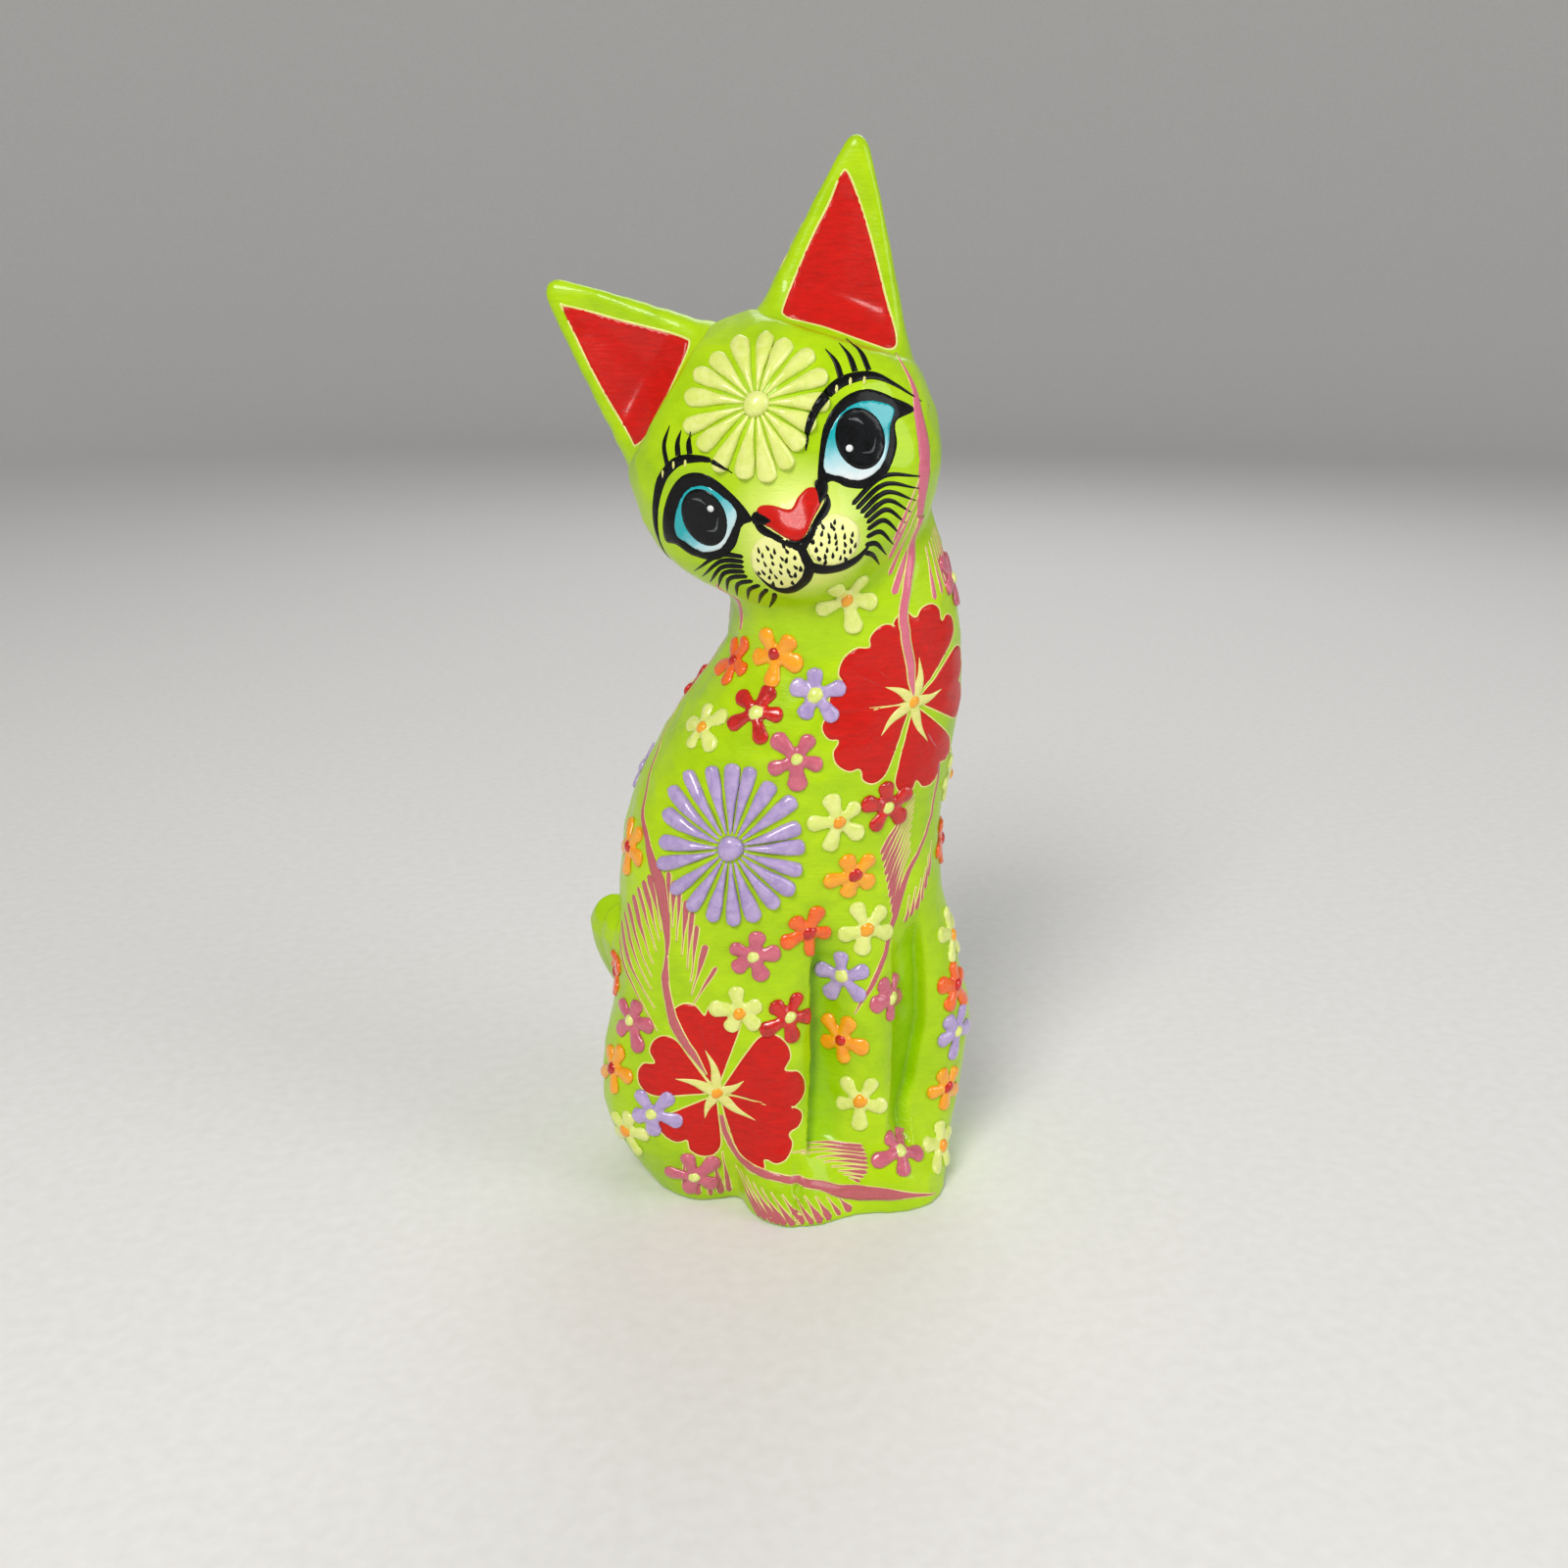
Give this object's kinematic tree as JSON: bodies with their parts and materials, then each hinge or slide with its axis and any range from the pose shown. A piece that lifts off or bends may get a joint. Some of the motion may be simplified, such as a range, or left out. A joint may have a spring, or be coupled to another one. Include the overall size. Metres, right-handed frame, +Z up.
{
  "type": "painted carved wooden cat figure",
  "caption": "Sitting cat figure with its head tilted to one side, pegged ears and tail, and raised paste flowers over painted wood.",
  "frame": {"origin": "on the flat base under the middle of the trunk, at the surface the figure stands on", "axes": "+Z up, the cat's chest faces -Y, +X is towards the cat's left side"},
  "size_m": [0.0833, 0.0657, 0.208],
  "materials": {
    "lime_paint": "gloss acrylic paint, brushed on carved wood",
    "bare_wood": "bare turned wood",
    "red_paste": "raised gloss acrylic paste",
    "orange_paste": "raised gloss acrylic paste",
    "amber_paste": "raised gloss acrylic paste",
    "yellow_paste": "raised gloss acrylic paste",
    "lavender_paste": "raised gloss acrylic paste",
    "pink_paste": "raised gloss acrylic paste",
    "red_paint": "gloss acrylic paint, brushed on carved wood",
    "black_paint": "gloss acrylic paint, brushed on carved wood",
    "pink_paint": "gloss acrylic paint, brushed on carved wood",
    "yellow_paint": "gloss acrylic paint, brushed on carved wood",
    "eye_white_paint": "gloss acrylic paint, brushed on carved wood",
    "eye_blue_paint": "gloss acrylic paint, brushed on carved wood"
  },
  "bodies": {
    "root": {"body": "lime_paint", "chest_daisy": "lavender_paste", "flower_01_yellow": "yellow_paste", "flower_02_orange": "orange_paste", "flower_03_amber": "amber_paste", "flower_04_lavender": "lavender_paste", "flower_05_red": "red_paste", "flower_06_yellow": "yellow_paste", "flower_07_pink": "pink_paste", "flower_08_yellow": "yellow_paste", "flower_09_red": "red_paste", "flower_10_amber": "amber_paste", "flower_11_pink": "pink_paste", "flower_12_yellow": "yellow_paste", "flower_13_orange": "orange_paste", "flower_14_amber": "amber_paste", "flower_15_orange": "orange_paste", "flower_16_yellow": "yellow_paste", "flower_17_pink": "pink_paste", "flower_18_lavender": "lavender_paste", "flower_19_pink": "pink_paste", "flower_20_yellow": "yellow_paste", "flower_21_red": "red_paste", "flower_22_amber": "amber_paste", "flower_23_yellow": "yellow_paste", "flower_24_pink": "pink_paste", "flower_25_orange": "orange_paste", "flower_26_pink": "pink_paste", "flower_27_amber": "amber_paste", "flower_28_yellow": "yellow_paste", "flower_29_lavender": "lavender_paste", "flower_30_pink": "pink_paste", "flower_31_yellow": "yellow_paste", "flower_32_orange": "orange_paste", "flower_33_lavender": "lavender_paste", "flower_34_amber": "amber_paste", "flower_35_yellow": "yellow_paste", "flower_36_red": "red_paste", "flower_37_amber": "amber_paste", "flower_38_red": "red_paste", "flower_39_lavender": "lavender_paste", "flower_40_lavender": "lavender_paste", "flower_41_pink": "pink_paste", "flower_42_yellow": "yellow_paste", "flower_43_red": "red_paste", "flower_44_orange": "orange_paste", "flower_45_yellow": "yellow_paste", "flower_46_pink": "pink_paste", "flower_47_lavender": "lavender_paste", "forehead_daisy": "yellow_paste", "left_ear": "lime_paint", "left_ear_peg": "bare_wood", "right_ear": "lime_paint", "right_ear_peg": "bare_wood", "tail": "lime_paint", "tail_peg": "bare_wood"}
  },
  "joints": []
}
